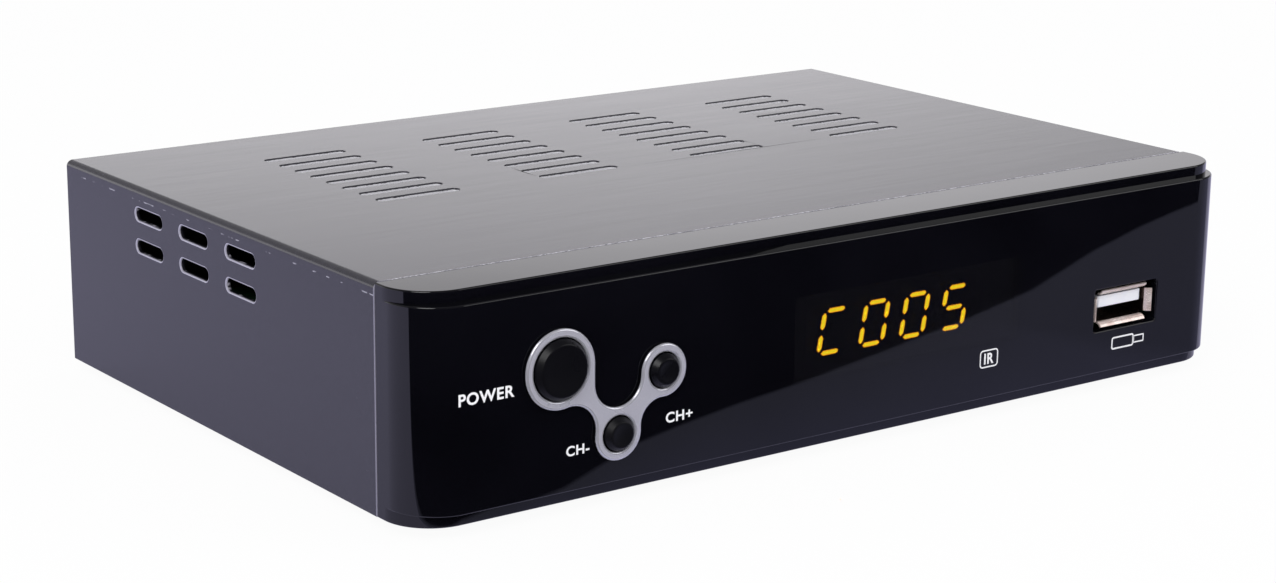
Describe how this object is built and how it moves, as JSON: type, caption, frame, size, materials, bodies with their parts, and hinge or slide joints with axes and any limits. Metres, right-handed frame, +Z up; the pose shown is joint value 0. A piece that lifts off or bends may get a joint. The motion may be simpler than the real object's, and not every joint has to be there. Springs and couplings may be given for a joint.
{
  "type": "digital tv converter box",
  "caption": "Low metal box with a gloss black front, round push buttons in a silver trim, a number display, a memory socket and rear aerial, picture and sound sockets.",
  "frame": {"origin": "on the table, under the middle of the whole box, sockets and buttons included", "axes": "+X to the right seen from the front, +Y from the front to the rear, +Z up"},
  "size_m": [0.18, 0.1328, 0.04],
  "materials": {
    "cover_paint": "satin black paint on folded steel",
    "base_paint": "satin black paint on folded steel",
    "gloss_front": "polished black ABS",
    "smoked_window": "polished smoked acrylic",
    "silver_trim": "satin silver paint on ABS",
    "button_black": "moulded satin black ABS",
    "plunger_cream": "moulded",
    "switch_black": "moulded",
    "front_board_green": "solder mask on glass epoxy",
    "main_board_green": "solder mask on glass epoxy",
    "display_black": "moulded",
    "segment_lit": "lit amber light guide",
    "segment_dark": "unlit light guide",
    "receiver_epoxy": "dark epoxy",
    "socket_nickel": "nickel plate",
    "tongue_white": "moulded",
    "tongue_black": "moulded",
    "contact_gold": "gold flash",
    "pillar_brass": "turned",
    "screw_zinc": "zinc plate",
    "screw_black": "black zinc plate",
    "foot_rubber": "moulded",
    "can_tinplate": "tin plate",
    "aerial_nickel": "nickel plate",
    "insulator_white": "moulded",
    "insert_yellow": "moulded",
    "insert_white": "moulded",
    "insert_red": "moulded",
    "block_black": "moulded",
    "inlet_black": "moulded",
    "chip_black": "moulded epoxy",
    "thermal_grey": "silicone pad",
    "sink_aluminium": "extruded",
    "capacitor_sleeve": "shrink sleeve",
    "inductor_ferrite": "ferrite",
    "crystal_steel": "drawn steel can",
    "chip_ceramic": "sintered",
    "header_white": "moulded nylon",
    "ribbon_grey": "flat insulation"
  },
  "bodies": {
    "case": {"base_chassis": "base_paint", "top_cover": "cover_paint", "front_bezel": "gloss_front", "display_window": "smoked_window", "button_trim": "silver_trim", "power_switch": "switch_black", "channel_down_switch": "switch_black", "channel_up_switch": "switch_black", "front_board": "front_board_green", "led_display": "display_black", "lit_segments": "segment_lit", "dark_segments": "segment_dark", "infrared_receiver": "receiver_epoxy", "usb_shell": "socket_nickel", "usb_tongue": "tongue_white", "usb_contacts": "contact_gold", "main_board": "main_board_green", "board_pillars": "pillar_brass", "board_screws": "screw_zinc", "front_board_screws": "screw_zinc", "cover_screws": "screw_black", "rubber_feet": "foot_rubber", "tuner_can": "can_tinplate", "aerial_in_socket": "aerial_nickel", "aerial_out_socket": "aerial_nickel", "aerial_in_insulator": "insulator_white", "aerial_out_insulator": "insulator_white", "aerial_contacts": "contact_gold", "aerial_nuts": "aerial_nickel", "hdmi_shell": "aerial_nickel", "hdmi_tongue": "tongue_black", "jack_block": "block_black", "video_sleeve": "aerial_nickel", "left_sound_sleeve": "aerial_nickel", "right_sound_sleeve": "aerial_nickel", "video_insert": "insert_yellow", "left_sound_insert": "insert_white", "right_sound_insert": "insert_red", "power_inlet": "inlet_black", "power_inlet_pin": "aerial_nickel", "processor": "chip_black", "thermal_pad": "thermal_grey", "heat_sink": "sink_aluminium", "memory_chip": "chip_black", "flash_chip": "chip_black", "regulators": "chip_black", "capacitors": "capacitor_sleeve", "inductors": "inductor_ferrite", "crystal": "crystal_steel", "chip_parts": "chip_ceramic", "board_header": "header_white", "front_header": "header_white", "ribbon_cable": "ribbon_grey"},
    "power_key": {"power_button": "button_black", "power_plunger": "plunger_cream"},
    "channel_down_key": {"channel_down_button": "button_black", "channel_down_plunger": "plunger_cream"},
    "channel_up_key": {"channel_up_button": "button_black", "channel_up_plunger": "plunger_cream"}
  },
  "joints": [
    {"name": "power_press", "type": "slide", "parent": "case", "child": "power_key", "axis": [0, 1, 0], "range_m": [0, 0.0004], "stiffness_N_per_m": 4000},
    {"name": "channel_down_press", "type": "slide", "parent": "case", "child": "channel_down_key", "axis": [0, 1, 0], "range_m": [0, 0.0004], "stiffness_N_per_m": 4000},
    {"name": "channel_up_press", "type": "slide", "parent": "case", "child": "channel_up_key", "axis": [0, 1, 0], "range_m": [0, 0.0004], "stiffness_N_per_m": 4000}
  ]
}
